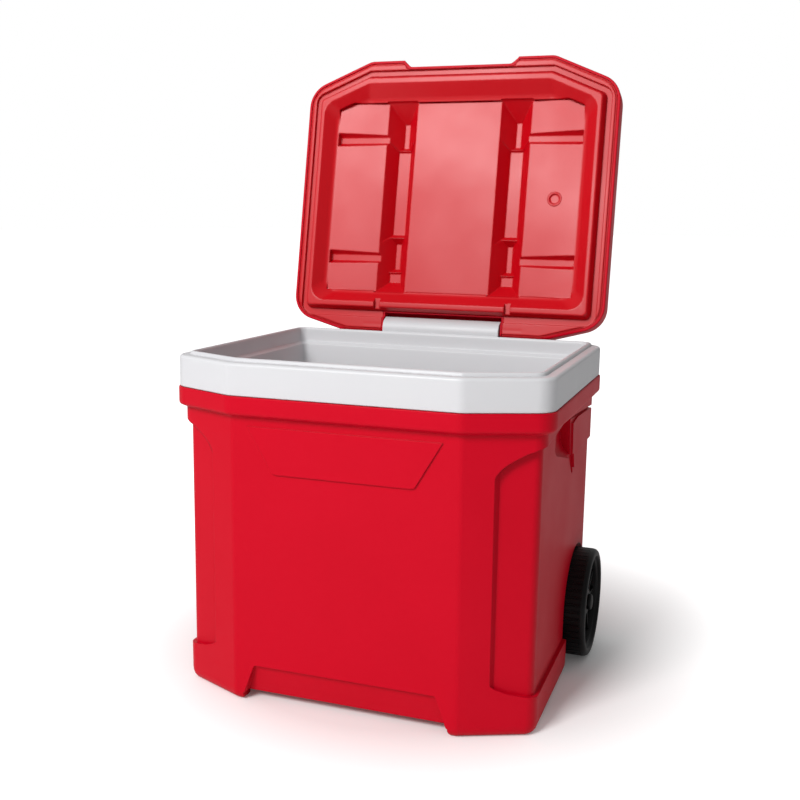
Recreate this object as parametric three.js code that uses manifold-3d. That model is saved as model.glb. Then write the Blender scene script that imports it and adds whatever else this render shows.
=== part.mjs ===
// A wheeled picnic cooler with its lid open: red outer shell, white liner with a
// raised rim, foam between them, a hinged lid, two wheels and a swing-out tow handle.
// Millimetres. X runs left to right, Y front to back, Z up, floor at Z = 0.
import * as THREE from 'three';
import { mergeVertices } from 'three/examples/jsm/utils/BufferGeometryUtils.js';
import Module from 'manifold-3d';

const wasm = await Module();
wasm.setup();

// ---------------------------------------------------------------- driving dimensions
const BAND_HALF = 280;
const BAND_FRONT = -180;
const BAND_REAR = 278;
const CHAMFER_START = 168.5;
const CHAMFER_ANGLE = Math.atan2(48.5, 111.5);
const BAND_BOTTOM = 456;
const BAND_TOP = 502.4;
const RIDGE_TOP = 507;
const WALL = 3;
const LID_WALL = 4;
const GAP = 0.3;
const CORNER_STEPS = 3;

const TUB_FLOOR = 45;
const REAR_SHIFT = 7;

const HINGE_Y = 285.1;
const HINGE_Z = 515.9;
const HINGE_HALF = 104;
const HINGE_RADIUS = 15;
const NOTCH_HALF = 105.6;
const NOTCH_RADIUS = 21.2;
const PIN_RADIUS = 4;
const PIN_BORE = 4.3;
const KNUCKLE_RADIUS = 11;
const OPEN_ANGLE = THREE.MathUtils.degToRad(100.7);

const LID_HALF = 279.3;
const LID_FRONT = -182.5;
const LID_REAR = 300;
const LID_BOTTOM = 503;
const LID_TOP = 560;
const LAND_Z = 491.5;
const CHANNEL_Z = 508.5;
const PANEL_Z = 514;

const WHEEL_Y = 194;
const WHEEL_Z = 87.5;
const WHEEL_RADIUS = 87.5;
const WHEEL_OUT = 296;
const WHEEL_IN = 250.5;
const WELL_RADIUS = 94;
const WELL_WALL = 246;
const AXLE_RADIUS = 6;
const AXLE_BORE = 6.3;

const TOW_X = 170;
const TOW_Y = 284;
const TOW_Z = 396;
const TOW_DROP = 286;
const TUBE_RADIUS = 7;
const GRIP_RADIUS = 12.5;
const GRIP_HALF = 75;

const DRAIN_X = -110;
const DRAIN_Z = 53;

const ORIGIN_Y = 114.954;

// ---------------------------------------------------------------- materials
const red = new THREE.MeshStandardMaterial({ color: 0xd90021 });
const white = new THREE.MeshStandardMaterial({ color: 0xe8e8e8 });
const foam = new THREE.MeshStandardMaterial({ color: 0xe6d9a8 });
const black = new THREE.MeshStandardMaterial({ color: 0x111111 });
const steel = new THREE.MeshStandardMaterial({ color: 0x9aa0a6 });

// ---------------------------------------------------------------- outlines
// Rounds every corner of a convex, counter-clockwise outline.
function rounded(vertices, radii) {
  const points = [];
  const count = vertices.length;
  for (let i = 0; i < count; i += 1) {
    const here = new THREE.Vector2(...vertices[i]);
    const back = new THREE.Vector2(...vertices[(i + count - 1) % count]).sub(here).normalize();
    const ahead = new THREE.Vector2(...vertices[(i + 1) % count]).sub(here).normalize();
    const half = Math.acos(back.dot(ahead)) / 2;
    const start = here.clone().addScaledVector(back, radii[i] / Math.tan(half));
    const middle = back.clone().add(ahead).normalize();
    const centre = here.clone().addScaledVector(middle, radii[i] / Math.sin(half));
    const first = Math.atan2(start.y - centre.y, start.x - centre.x);
    for (let s = 0; s <= CORNER_STEPS; s += 1) {
      const angle = first + ((Math.PI - 2 * half) * s) / CORNER_STEPS;
      points.push([centre.x + radii[i] * Math.cos(angle), centre.y + radii[i] * Math.sin(angle)]);
    }
  }
  return points;
}

function mirroredHalf(half) {
  const other = half.map(([x, y]) => [-x, y]).reverse();
  return half.concat(other);
}

// A line parallel to the front chamfer, moved inwards by the inset.
function chamferLine(inset) {
  const x = CHAMFER_START - inset * Math.sin(CHAMFER_ANGLE);
  const y = BAND_FRONT + inset * Math.cos(CHAMFER_ANGLE);
  return { x, y, slope: Math.tan(CHAMFER_ANGLE) };
}

// The plan outline of the cooler body, each edge moved inwards by its own inset.
function band(front, chamfer, side, rear) {
  const line = chamferLine(chamfer);
  const frontY = BAND_FRONT + front;
  const sideX = BAND_HALF - side;
  const half = [
    [line.x + (frontY - line.y) / line.slope, frontY],
    [sideX, line.y + (sideX - line.x) * line.slope],
    [sideX, BAND_REAR - rear],
  ];
  const radii = [Math.max(30 - chamfer, 8), Math.max(34 - chamfer, 8), Math.max(35 - side, 8)];
  return rounded(mirroredHalf(half), radii.concat([...radii].reverse()));
}

const ring = (inset) => band(inset, inset, inset, inset);
const mouth = (inset) => band(inset, inset, inset, inset - REAR_SHIFT);

// The plan outline of the closed lid, moved inwards by the inset.
function lidOutline(inset) {
  const line = chamferLine(inset - 0.9);
  const frontY = LID_FRONT + inset;
  const sideX = LID_HALF - inset;
  const rearY = LID_REAR - inset;
  const tilt = THREE.MathUtils.degToRad(15.4);
  const reach = 256 * Math.sin(tilt) + 278 * Math.cos(tilt) - inset;
  const half = [
    [line.x + (frontY - line.y) / line.slope, frontY],
    [sideX, line.y + (sideX - line.x) * line.slope],
    [sideX, (reach - sideX * Math.sin(tilt)) / Math.cos(tilt)],
    [(reach - rearY * Math.cos(tilt)) / Math.sin(tilt), rearY],
  ];
  const radii = [30, 34, 40, 30].map((radius) => Math.max(radius - inset, 8));
  return rounded(mirroredHalf(half), radii.concat([...radii].reverse()));
}

// ---------------------------------------------------------------- solids
// Turns a three.js surface into a closed solid with its faces outwards.
function solid(geometry) {
  const plain = geometry.index ? geometry.toNonIndexed() : geometry.clone();
  plain.deleteAttribute('normal');
  plain.deleteAttribute('uv');
  const merged = mergeVertices(plain, 1e-3);
  const p = merged.attributes.position.array;
  const faces = [];
  const index = merged.index.array;
  let volume = 0;
  for (let i = 0; i < index.length; i += 3) {
    const [a, b, c] = [index[i], index[i + 1], index[i + 2]];
    if (a !== b && b !== c && c !== a) {
      faces.push(a, b, c);
      const va = new THREE.Vector3(p[3 * a], p[3 * a + 1], p[3 * a + 2]);
      const vb = new THREE.Vector3(p[3 * b], p[3 * b + 1], p[3 * b + 2]);
      const vc = new THREE.Vector3(p[3 * c], p[3 * c + 1], p[3 * c + 2]);
      volume += va.dot(vb.cross(vc));
    }
  }
  if (volume < 0) {
    faces.reverse();
  }
  return new wasm.Manifold(new wasm.Mesh({
    numProp: 3,
    vertProperties: new Float32Array(p),
    triVerts: new Uint32Array(faces),
  }));
}

function surface(shape) {
  const mesh = shape.getMesh();
  const geometry = new THREE.BufferGeometry();
  geometry.setAttribute('position', new THREE.BufferAttribute(new Float32Array(mesh.vertProperties), 3));
  geometry.setIndex(Array.from(mesh.triVerts));
  return geometry;
}

// Joins convex outlines stacked at rising heights into one closed solid.
function loft(...levels) {
  const count = levels[0][1].length;
  const position = [];
  const index = [];
  for (const [z, points] of levels) {
    for (const [x, y] of points) {
      position.push(x, y, z);
    }
  }
  for (let level = 0; level + 1 < levels.length; level += 1) {
    for (let i = 0; i < count; i += 1) {
      const a = level * count + i;
      const b = level * count + ((i + 1) % count);
      index.push(a, b, b + count, a, b + count, a + count);
    }
  }
  const top = (levels.length - 1) * count;
  for (let i = 1; i + 1 < count; i += 1) {
    index.push(0, i + 1, i, top, top + i, top + i + 1);
  }
  const geometry = new THREE.BufferGeometry();
  geometry.setAttribute('position', new THREE.Float32BufferAttribute(position, 3));
  geometry.setIndex(index);
  return solid(geometry);
}

function extruded(points, depth) {
  const shape = new THREE.Shape(points.map(([x, y]) => new THREE.Vector2(x, y)));
  return new THREE.ExtrudeGeometry(shape, { depth, bevelEnabled: false, steps: 1 });
}

// A (Y, Z) profile carried along X.
function slabX(points, x0, x1) {
  const turn = new THREE.Matrix4().makeBasis(
    new THREE.Vector3(0, 1, 0),
    new THREE.Vector3(0, 0, 1),
    new THREE.Vector3(1, 0, 0),
  );
  return solid(extruded(points, x1 - x0).applyMatrix4(turn).translate(x0, 0, 0));
}

// An (X, Z) profile carried along Y.
function slabY(points, y0, y1) {
  const turn = new THREE.Matrix4().makeBasis(
    new THREE.Vector3(1, 0, 0),
    new THREE.Vector3(0, 0, 1),
    new THREE.Vector3(0, -1, 0),
  );
  return solid(extruded(points, y1 - y0).applyMatrix4(turn).translate(0, y1, 0));
}

// An (X, Y) profile carried along Z.
function slabZ(points, z0, z1) {
  return solid(extruded(points, z1 - z0).translate(0, 0, z0));
}

function box(x0, x1, y0, y1, z0, z1) {
  const geometry = new THREE.BoxGeometry(x1 - x0, y1 - y0, z1 - z0);
  return solid(geometry.translate((x0 + x1) / 2, (y0 + y1) / 2, (z0 + z1) / 2));
}

function rodX(radius, x0, x1, y, z, steps = 24) {
  const geometry = new THREE.CylinderGeometry(radius, radius, x1 - x0, steps);
  return solid(geometry.rotateZ(Math.PI / 2).translate((x0 + x1) / 2, y, z));
}

function rodY(radius, y0, y1, x, z, steps = 20) {
  const geometry = new THREE.CylinderGeometry(radius, radius, y1 - y0, steps);
  return solid(geometry.translate(x, (y0 + y1) / 2, z));
}

function rodZ(radius, z0, z1, x, y, steps = 20) {
  const geometry = new THREE.CylinderGeometry(radius, radius, z1 - z0, steps);
  return solid(geometry.rotateX(Math.PI / 2).translate(x, y, (z0 + z1) / 2));
}

// A (radius, distance along X) profile turned about the X axis through (y, z).
function turnedX(profile, y, z, steps) {
  const points = profile.map(([radius, along]) => new THREE.Vector2(radius, along));
  const geometry = new THREE.LatheGeometry(points, steps);
  return solid(geometry.rotateZ(-Math.PI / 2).translate(0, y, z));
}

const mirrored = (shape) => shape.mirror([1, 0, 0]);
const both = (shape) => shape.add(mirrored(shape));

// ---------------------------------------------------------------- body shell shapes
// Every cutting shape takes a growth, so the same shape cuts the outside of the shell
// at 0 and keeps the inside cavity one wall thickness away from it.
function bodyForm(grow, top) {
  return loft(
    [0, band(23 + grow, 23 + grow, 20 + grow, 22 + grow)],
    [2, band(18.5 + grow, 17 + grow, 14.6 + grow, 15 + grow)],
    [7, band(14.8 + grow, 13.4 + grow, 11.2 + grow, 11.7 + grow)],
    [16, band(13.4 + grow, 12 + grow, 10.2 + grow, 11 + grow)],
    [414, band(9.7 + grow, 9.3 + grow, 9.3 + grow, 9.3 + grow)],
    [425 + grow / 2, ring(9.3 + grow)],
    [430 + grow / 2, ring(-2 + grow)],
    [top, ring(-2 + grow)],
  );
}

function sideRecess(grow) {
  const profile = [
    [-168 - grow, 112], [-152.5, 83 - grow], [-141, 65 - grow], [-116, 56 - grow],
    [320, 56 - grow], [320, 397 + grow], [196, 407 + grow], [138, 412 + grow],
    [-9, 419 + grow], [-120, 407 + grow], [-131, 403 + grow], [-144.5, 386 + grow],
    [-150.5, 371 + grow], [-168 - grow, 320 + grow],
  ];
  const plan = [
    [202.3 - 0.7 * grow, -169.6 + 0.5 * grow], [400, -169.6], [400, 320], [222 - grow, 320],
    [222 - grow, -118.4], [213.5 - 0.7 * grow, -140.5 + 0.3 * grow],
  ];
  const skin = band(0, 18.3 + grow, 16 + grow, -30);
  return slabX(profile, 150, 330).intersect(slabZ(plan, -10, 480)).subtract(loft([-20, skin], [490, skin]));
}

function handPocket(grow) {
  const section = [
    [300, 345 - grow], [265, 349 - grow], [249 - grow, 372 - grow], [248 - grow, 412 + grow],
    [265, 418 + grow], [300, 418 + grow],
  ];
  const outline = [
    [-28 - grow, 384], [-12, 373 - grow], [84, 350 - grow], [97 + grow, 347 - grow],
    [88 + grow, 392], [86 + grow, 414 + grow], [-9, 418.5 + grow], [-28 - grow, 402],
  ];
  return slabY(section, -40, 110).intersect(slabX(outline, 200, 330));
}

function wheelWell(grow) {
  const inner = WELL_WALL - grow;
  const arch = rodX(WELL_RADIUS + grow, inner, 340, WHEEL_Y, WHEEL_Z, 40);
  return arch.add(box(inner, 340, WHEEL_Y - WELL_RADIUS - grow, 340, -30, WHEEL_Z));
}

function frontScoop(grow) {
  const face = [[-138 - grow, 57 + grow], [-162 - grow, -4], [162 + grow, -4], [138 + grow, 57 + grow]];
  const depth = [[-220, 57 + grow], [-220, -4], [-147 + grow, -4], [-162 + grow, 57 + grow]];
  return slabY(face, -220, -100).intersect(slabX(depth, -200, 200));
}

// The underside is raised between the feet, which end at the wheel wells.
const underside = slabZ([
  [152, -220], [160, -136], [200, -120], [230, -96], [230, 99], [300, 99], [300, 320],
  [-300, 320], [-300, 99], [-230, 99], [-230, -96], [-200, -120], [-160, -136], [-152, -220],
], -5, 12);

const bodyCuts = (grow) => both(sideRecess(grow))
  .add(both(handPocket(grow)))
  .add(both(wheelWell(grow)))
  .add(frontScoop(grow));

const axleBoss = (grow) => both(rodX(17 + grow, 212 - grow, 248, WHEEL_Y, WHEEL_Z));
const bodyCavity = (grow) => bodyForm(grow, 470)
  .subtract(bodyCuts(grow))
  .subtract(axleBoss(grow - WALL))
  .subtract(box(-330, 330, -220, 320, -5, 12 + grow));

const frontPlate = slabY([[-105, 348.6], [105, 348.6], [142.8, 413], [-142.8, 413]], -172.3, -165);

// ---------------------------------------------------------------- liner shapes
// The inside of the tub, moved outwards by the growth.
function tubForm(grow, top) {
  return loft(
    [TUB_FLOOR - grow, mouth(58 - grow)],
    [TUB_FLOOR + 10 - grow / 2, mouth(50 - grow)],
    [430, mouth(40 - grow)],
    [478 - 0.8 * grow, mouth(31 - grow)],
    [484 - 0.8 * grow, mouth(24 - grow)],
    [498, mouth(23 - grow)],
    [top, mouth(23 - grow)],
  );
}

// The tub steps inwards over each wheel well.
const tubStep = (grow) => both(box(206 - grow, 330, 86 - grow, 330, 0, 194 + grow));
const tubSolid = (grow, top) => tubForm(grow, top).subtract(tubStep(WALL - grow));

const collarOutside = loft(
  [BAND_BOTTOM, ring(0.8)],
  [BAND_BOTTOM + 1.5, ring(0)],
  [BAND_TOP - 4, ring(0)],
  [BAND_TOP - 1.4, ring(1)],
  [BAND_TOP, ring(4)],
);
const collarHollow = loft([440, ring(WALL)], [BAND_TOP - WALL - 0.2, ring(WALL)]);
const rimRidge = loft(
  [BAND_TOP - 3, mouth(15.5)],
  [RIDGE_TOP - 2, mouth(16)],
  [RIDGE_TOP - 0.5, mouth(17.2)],
  [RIDGE_TOP, mouth(18.5)],
);
const rimOpening = loft([RIDGE_TOP - 2.5, mouth(23)], [RIDGE_TOP + 1, mouth(20.8)]);

const barrel = [];
for (let angle = 125; angle >= 0; angle -= 25) {
  const turn = THREE.MathUtils.degToRad(angle);
  barrel.push([HINGE_Y + HINGE_RADIUS * Math.cos(turn), HINGE_Z + HINGE_RADIUS * Math.sin(turn)]);
}
const hingeBlock = slabX([
  [277.5, 474], [272, 480], [264.5, 484], [264.5, 512], [266.2, 520], [270.5, 525.5],
  ...barrel,
  [300.1, 508], [297, 497], [290, 484],
], -HINGE_HALF, HINGE_HALF);
const hingeBores = both(rodX(PIN_BORE, 84.7, 120, HINGE_Y, HINGE_Z, 20));

const drainHole = (grow) => rodY(8 + grow, 215, 300, DRAIN_X, DRAIN_Z);
const bracketHoles = (grow) => {
  const one = rodY(2.5 + grow, 255, 290, TOW_X - 20, TOW_Z, 12);
  const two = rodY(2.5 + grow, 255, 290, TOW_X + 20, TOW_Z, 12);
  return both(one.add(two));
};

// ---------------------------------------------------------------- lid shapes, lid closed
function lidForm(grow, bottom) {
  return loft(
    [bottom, lidOutline(0.6 + grow)],
    [LID_BOTTOM + 2, lidOutline(grow)],
    [540, lidOutline(0.8 + grow)],
    [551 - 0.6 * grow, lidOutline(3 + grow)],
    [557 - 0.9 * grow, lidOutline(8 + grow)],
    [LID_TOP - grow, lidOutline(18 + grow)],
  );
}

// The opening the lid needs around the hinge block, shut or open.
function hingeNotch(grow) {
  const radius = NOTCH_RADIUS + grow;
  const profile = [[HINGE_Y - radius, 480]];
  for (let angle = 180; angle >= 90; angle -= 18) {
    const turn = THREE.MathUtils.degToRad(angle);
    profile.push([HINGE_Y + radius * Math.cos(turn), HINGE_Z + radius * Math.sin(turn)]);
  }
  profile.push([320, HINGE_Z + radius], [320, 480]);
  return slabX(profile, -NOTCH_HALF - grow, NOTCH_HALF + grow);
}

function fingerNotch(grow) {
  const plan = [
    [-106 - grow, -190], [106 + grow, -190], [102.5 + grow, -182.5],
    [91 + grow, -171.5 + grow], [-91 - grow, -171.5 + grow], [-102.5 - grow, -182.5],
  ];
  return slabZ(plan, 480, 548 + grow);
}

const rearRelief = slabX([[294.5, 480], [320, 480], [320, 510], [300.1, 510], [294.5, 503]], -320, 320);
const plugForm = (grow) => loft(
  [LAND_Z + grow, band(31 + grow, 30 + grow, 29 + grow, 22 + grow)],
  [LID_BOTTOM + grow, band(24.5 + grow, 24.5 + grow, 24.2 + grow, 17.2 + grow)],
  [600, band(24.5 + grow, 24.5 + grow, 24.2 + grow, 17.2 + grow)],
);
const ridgeChannel = (grow) => {
  const edge = band(14.5 - grow, 14.5 - grow, 14.5 - grow, 5.5 - grow);
  return loft([480, edge], [CHANNEL_Z + grow, edge]);
};

// The hollows pressed up into the underside of the lid.
function lidHollows(grow) {
  const rim = band(41 - grow, 40 - grow, 36 - grow, 31 - grow);
  const panel = band(68 - grow, 63 - grow, 57 - grow, 50 - grow);
  const middle = loft([480, rim], [LAND_Z, rim], [PANEL_Z + grow, panel]);
  const oblong = (half, y0, y1) => [
    [102.5 - half - grow, y0 - grow], [102.5 + half + grow, y0 - grow],
    [102.5 + half + grow, y1 + grow], [102.5 - half - grow, y1 + grow],
  ];
  const trough = loft(
    [500, oblong(28.5, -112.5, 228.5)],
    [PANEL_Z, oblong(28, -112, 228)],
    [543 + grow, oblong(10.5, -80, 206)],
  );
  const crossGroove = (y0, y1) => slabX([
    [y0 - 6 - grow, 505], [y0 - 0.7 * grow, 522 + grow], [y1 + 0.7 * grow, 522 + grow], [y1 + 6 + grow, 505],
  ], 122, 218 + grow);
  return middle.add(both(trough.add(crossGroove(-51, -39)).add(crossGroove(160, 172))));
}

function panForm(grow) {
  const edge = lidOutline(grow > 0 ? 4 : 5);
  const flange = loft([LID_BOTTOM + grow, edge], [600, edge]);
  return flange.subtract(ridgeChannel(grow)).add(plugForm(grow)).subtract(lidHollows(grow));
}

const knuckle = both(
  rodX(KNUCKLE_RADIUS, NOTCH_HALF + 0.4, 143, HINGE_Y, HINGE_Z)
    .add(box(NOTCH_HALF + 0.4, 143, HINGE_Y, 298, 511, 521)),
);
const knuckleRoom = both(
  rodX(KNUCKLE_RADIUS + 0.5, 100, 143.5, HINGE_Y, HINGE_Z)
    .add(box(100, 143.5, HINGE_Y, 300, 510.5, 521.5)),
);
const knuckleBores = both(rodX(PIN_BORE, 100, 139.8, HINGE_Y, HINGE_Z, 20));
const foamPlugHole = rodZ(10.3, 505, 530, 180, 59, 24);

// ---------------------------------------------------------------- assembly
const group = new THREE.Group();
const openLid = new THREE.Matrix4()
  .makeTranslation(0, HINGE_Y, HINGE_Z)
  .multiply(new THREE.Matrix4().makeRotationX(-OPEN_ANGLE))
  .multiply(new THREE.Matrix4().makeTranslation(0, -HINGE_Y, -HINGE_Z));

function addPart(name, shape, material, onLid = false) {
  const geometry = surface(shape);
  if (onLid) {
    geometry.applyMatrix4(openLid);
  }
  geometry.translate(0, -ORIGIN_Y, 0);
  geometry.computeVertexNormals();
  const mesh = new THREE.Mesh(geometry, material);
  mesh.name = name;
  group.add(mesh);
}

function addPair(name, shape, material) {
  addPart(`${name}_right`, shape, material);
  addPart(`${name}_left`, mirrored(shape), material);
}

// Outer shell, one moulding with feet, hand pockets and wheel wells.
addPart('body_shell', bodyForm(0, BAND_BOTTOM - GAP)
  .add(frontPlate)
  .subtract(bodyCuts(0))
  .subtract(underside)
  .subtract(bodyCavity(WALL))
  .subtract(both(rodX(AXLE_BORE, 216, 260, WHEEL_Y, WHEEL_Z, 20)))
  .subtract(drainHole(GAP))
  .subtract(bracketHoles(GAP)), red);

// Liner, one moulding with the rim collar and the hinge block.
addPart('liner', collarOutside
  .subtract(collarHollow)
  .add(tubSolid(WALL, BAND_TOP - 2))
  .add(rimRidge)
  .subtract(tubSolid(0, RIDGE_TOP + 4))
  .subtract(rimOpening)
  .add(hingeBlock)
  .subtract(hingeBores)
  .subtract(drainHole(GAP)), white);

// Insulating foam between the shell and the liner.
addPart('body_foam', bodyCavity(WALL + GAP)
  .subtract(box(-400, 400, -400, 400, BAND_BOTTOM - 1, 480))
  .add(loft([BAND_BOTTOM - 2, ring(WALL + GAP)], [BAND_TOP - WALL - 0.5, ring(WALL + GAP)]))
  .subtract(tubSolid(WALL + GAP, 520))
  .subtract(box(-HINGE_HALF - GAP, HINGE_HALF + GAP, 261, 300, 473.5, 540))
  .subtract(drainHole(2 * GAP))
  .subtract(bracketHoles(2 * GAP)), foam);

// Lid: moulded cover, pressed pan under it, foam between.
addPart('lid_cover', lidForm(0, LID_BOTTOM)
  .subtract(fingerNotch(0))
  .subtract(hingeNotch(0))
  .subtract(lidForm(LID_WALL, 490).subtract(fingerNotch(LID_WALL)).subtract(hingeNotch(WALL)))
  .subtract(ridgeChannel(0).subtract(plugForm(0)))
  .add(knuckle)
  .subtract(knuckleBores)
  .subtract(rearRelief), red, true);
addPart('lid_pan', panForm(0)
  .subtract(panForm(WALL))
  .subtract(fingerNotch(LID_WALL + GAP))
  .subtract(hingeNotch(WALL + GAP))
  .subtract(knuckleRoom)
  .subtract(rearRelief)
  .subtract(foamPlugHole), red, true);
addPart('lid_foam', panForm(WALL + GAP)
  .intersect(lidForm(LID_WALL + GAP, 490))
  .subtract(fingerNotch(LID_WALL + GAP))
  .subtract(hingeNotch(WALL + GAP))
  .subtract(knuckleRoom), foam, true);
addPart('lid_foam_plug', rodZ(12.5, PANEL_Z - 1.8, PANEL_Z - GAP, 180, 59, 24)
  .add(rodZ(10, PANEL_Z - 0.6, PANEL_Z + 2.7, 180, 59, 24))
  .subtract(rodZ(8, PANEL_Z - 3, PANEL_Z + 0.8, 180, 59, 24)), red, true);

// Hinge pins, fixed in the hinge block and free in the lid knuckles.
addPair('hinge_pin', rodX(PIN_RADIUS, 85, 139.5, HINGE_Y, HINGE_Z, 20), steel);

// Wheels on stub axles.
const wheelProfile = [
  [AXLE_BORE, WHEEL_IN], [20, WHEEL_IN], [20, 264], [68, 266], [71, WHEEL_IN + 2], [84, WHEEL_IN],
  [WHEEL_RADIUS, WHEEL_IN + 5], [WHEEL_RADIUS, WHEEL_OUT - 6], [84, WHEEL_OUT], [75, WHEEL_OUT],
  [72, 292], [70, 274], [24, 271], [20, 287], [AXLE_BORE, 287], [AXLE_BORE, WHEEL_IN],
];
let wheel = turnedX(wheelProfile, WHEEL_Y, WHEEL_Z, 32);
for (let spoke = 0; spoke < 6; spoke += 1) {
  const bar = new THREE.BoxGeometry(14, 8, 54).translate(277, 0, 46);
  bar.rotateX((spoke * Math.PI) / 3).translate(0, WHEEL_Y, WHEEL_Z);
  wheel = wheel.add(solid(bar));
}
addPair('wheel', wheel, black);
addPair('axle', rodX(AXLE_RADIUS, 216.3, 291.2, WHEEL_Y, WHEEL_Z, 20), steel);
addPair('axle_washer', rodX(13, WELL_WALL + GAP, WHEEL_IN - GAP, WHEEL_Y, WHEEL_Z)
  .subtract(rodX(AXLE_BORE, 240, 260, WHEEL_Y, WHEEL_Z, 20)), steel);
addPair('axle_cap', rodX(13, 287.3, 294.5, WHEEL_Y, WHEEL_Z)
  .subtract(rodX(AXLE_BORE, 280, 291.5, WHEEL_Y, WHEEL_Z, 20)), black);

// Tow handle: a bent tube with a sleeve grip, swinging between two screwed brackets.
const ear = [];
for (let angle = -60; angle <= 60; angle += 20) {
  const turn = THREE.MathUtils.degToRad(angle);
  ear.push([TOW_Y + 11 * Math.cos(turn), TOW_Z + 11 * Math.sin(turn)]);
}
const earProfile = [[270, TOW_Z - 18], ...ear, [270, TOW_Z + 18]];
addPair('tow_bracket', box(TOW_X - 26, TOW_X + 26, 269.1, 273, TOW_Z - 20, TOW_Z + 20)
  .add(slabX(earProfile, TOW_X - 12, TOW_X - 7))
  .add(slabX(earProfile, TOW_X + 7, TOW_X + 12))
  .subtract(rodX(PIN_BORE, TOW_X - 30, TOW_X + 30, TOW_Y, TOW_Z, 20))
  .subtract(bracketHoles(GAP)), black);
addPair('tow_pin', rodX(PIN_RADIUS, TOW_X - 12.5, TOW_X + 14, TOW_Y, TOW_Z, 20)
  .add(rodX(6.5, TOW_X + 12.3, TOW_X + 15, TOW_Y, TOW_Z, 20)), steel);
for (const [place, x] of [['inner', TOW_X - 20], ['outer', TOW_X + 20]]) {
  addPair(`bracket_screw_${place}`, rodY(2.5, 262, 275, x, TOW_Z, 12)
    .add(rodY(4, 273.3, 276, x, TOW_Z, 12)), steel);
}
const corner = new THREE.SphereGeometry(TUBE_RADIUS, 12, 8);
const towFoot = TOW_Z - TOW_DROP;
const towArm = rodZ(TUBE_RADIUS, towFoot, TOW_Z, TOW_X, TOW_Y, 12)
  .add(rodX(9.5, TOW_X - 6, TOW_X + 6, TOW_Y, TOW_Z, 20))
  .intersect(box(TOW_X - 6, TOW_X + 6, 250, 300, TOW_Z - 24, TOW_Z + 20)
    .add(box(TOW_X - 20, TOW_X + 20, 250, 300, 0, TOW_Z - 24)))
  .add(solid(corner.translate(TOW_X, TOW_Y, towFoot)));
addPart('tow_frame', both(towArm)
  .add(rodX(TUBE_RADIUS, -TOW_X, TOW_X, TOW_Y, towFoot, 12))
  .subtract(both(rodX(PIN_BORE, TOW_X - 10, TOW_X + 10, TOW_Y, TOW_Z, 20))), steel);
addPart('tow_grip', rodX(GRIP_RADIUS, -GRIP_HALF, GRIP_HALF, TOW_Y, towFoot)
  .subtract(rodX(TUBE_RADIUS + GAP, -GRIP_HALF - 5, GRIP_HALF + 5, TOW_Y, towFoot, 16)), black);

// Drain: a spout through the rear wall and a push-in plug.
addPart('drain_spout', rodY(8, 236, 270.4, DRAIN_X, DRAIN_Z)
  .add(rodY(15, 268.2, 270.4, DRAIN_X, DRAIN_Z))
  .subtract(rodY(5, 230, 275, DRAIN_X, DRAIN_Z)), white);
addPart('drain_plug', rodY(4.6, 250, 272, DRAIN_X, DRAIN_Z)
  .add(rodY(13, 270.8, 277, DRAIN_X, DRAIN_Z))
  .add(box(DRAIN_X - 2.5, DRAIN_X + 2.5, 276, 286, DRAIN_Z - 10, DRAIN_Z + 10)), white);

export default group;
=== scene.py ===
import math

import bpy
from mathutils import Matrix, Vector


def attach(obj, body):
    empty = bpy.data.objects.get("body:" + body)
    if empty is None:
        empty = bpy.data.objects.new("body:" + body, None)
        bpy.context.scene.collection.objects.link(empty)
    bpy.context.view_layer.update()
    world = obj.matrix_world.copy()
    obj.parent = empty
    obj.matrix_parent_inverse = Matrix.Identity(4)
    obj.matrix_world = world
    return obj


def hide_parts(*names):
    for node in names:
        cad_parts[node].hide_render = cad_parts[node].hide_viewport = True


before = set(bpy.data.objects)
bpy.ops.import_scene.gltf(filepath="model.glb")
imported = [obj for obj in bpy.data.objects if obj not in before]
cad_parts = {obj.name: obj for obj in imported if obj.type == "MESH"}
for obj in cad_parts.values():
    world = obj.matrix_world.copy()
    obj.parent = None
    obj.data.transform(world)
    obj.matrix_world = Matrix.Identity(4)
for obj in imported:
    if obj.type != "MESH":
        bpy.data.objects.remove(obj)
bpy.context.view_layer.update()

# ============================================================ body shell
# The red outer shell of the cooler, one thin-walled polyethylene moulding.
# It has a proud collar at the top, chamfered front corners, sunk side panels,
# hand pockets, wheel wells and two feet. The liner drops into its open top, and
# the foam poured between the two is sealed inside and never seen.

BAND_HALF = 280.0
BAND_FRONT = -180.0
BAND_REAR = 278.0
CHAMFER_START = 168.5
CHAMFER_ANGLE = math.atan2(48.5, 111.5)
ORIGIN_Y = 114.954
CORNER_STEPS = 10
WHEEL_Y = 194.0
WHEEL_Z = 87.5
AXLE_BORE = 6.3
DRAIN = (-110.0, 0.0, 53.0)
DRAIN_BORE = 8.3

to_frame = Matrix.Scale(0.001, 4) @ Matrix.Translation((0, -ORIGIN_Y, 0))


def rounded(vertices, radii):
    """Rounds every corner of a convex, counter-clockwise outline."""
    points = []
    count = len(vertices)
    for i in range(count):
        here = Vector(vertices[i])
        back = (Vector(vertices[i - 1]) - here).normalized()
        ahead = (Vector(vertices[(i + 1) % count]) - here).normalized()
        half = math.acos(back.dot(ahead)) / 2
        start = here + back * (radii[i] / math.tan(half))
        centre = here + (back + ahead).normalized() * (radii[i] / math.sin(half))
        first = math.atan2(start.y - centre.y, start.x - centre.x)
        for step in range(CORNER_STEPS + 1):
            angle = first + (math.pi - 2 * half) * step / CORNER_STEPS
            x = centre.x + radii[i] * math.cos(angle)
            y = centre.y + radii[i] * math.sin(angle)
            points.append((x, y))
    return points


def both_halves(half):
    """Closes an outline by mirroring its right half."""
    return half + [(-x, y) for x, y in reversed(half)]


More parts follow.
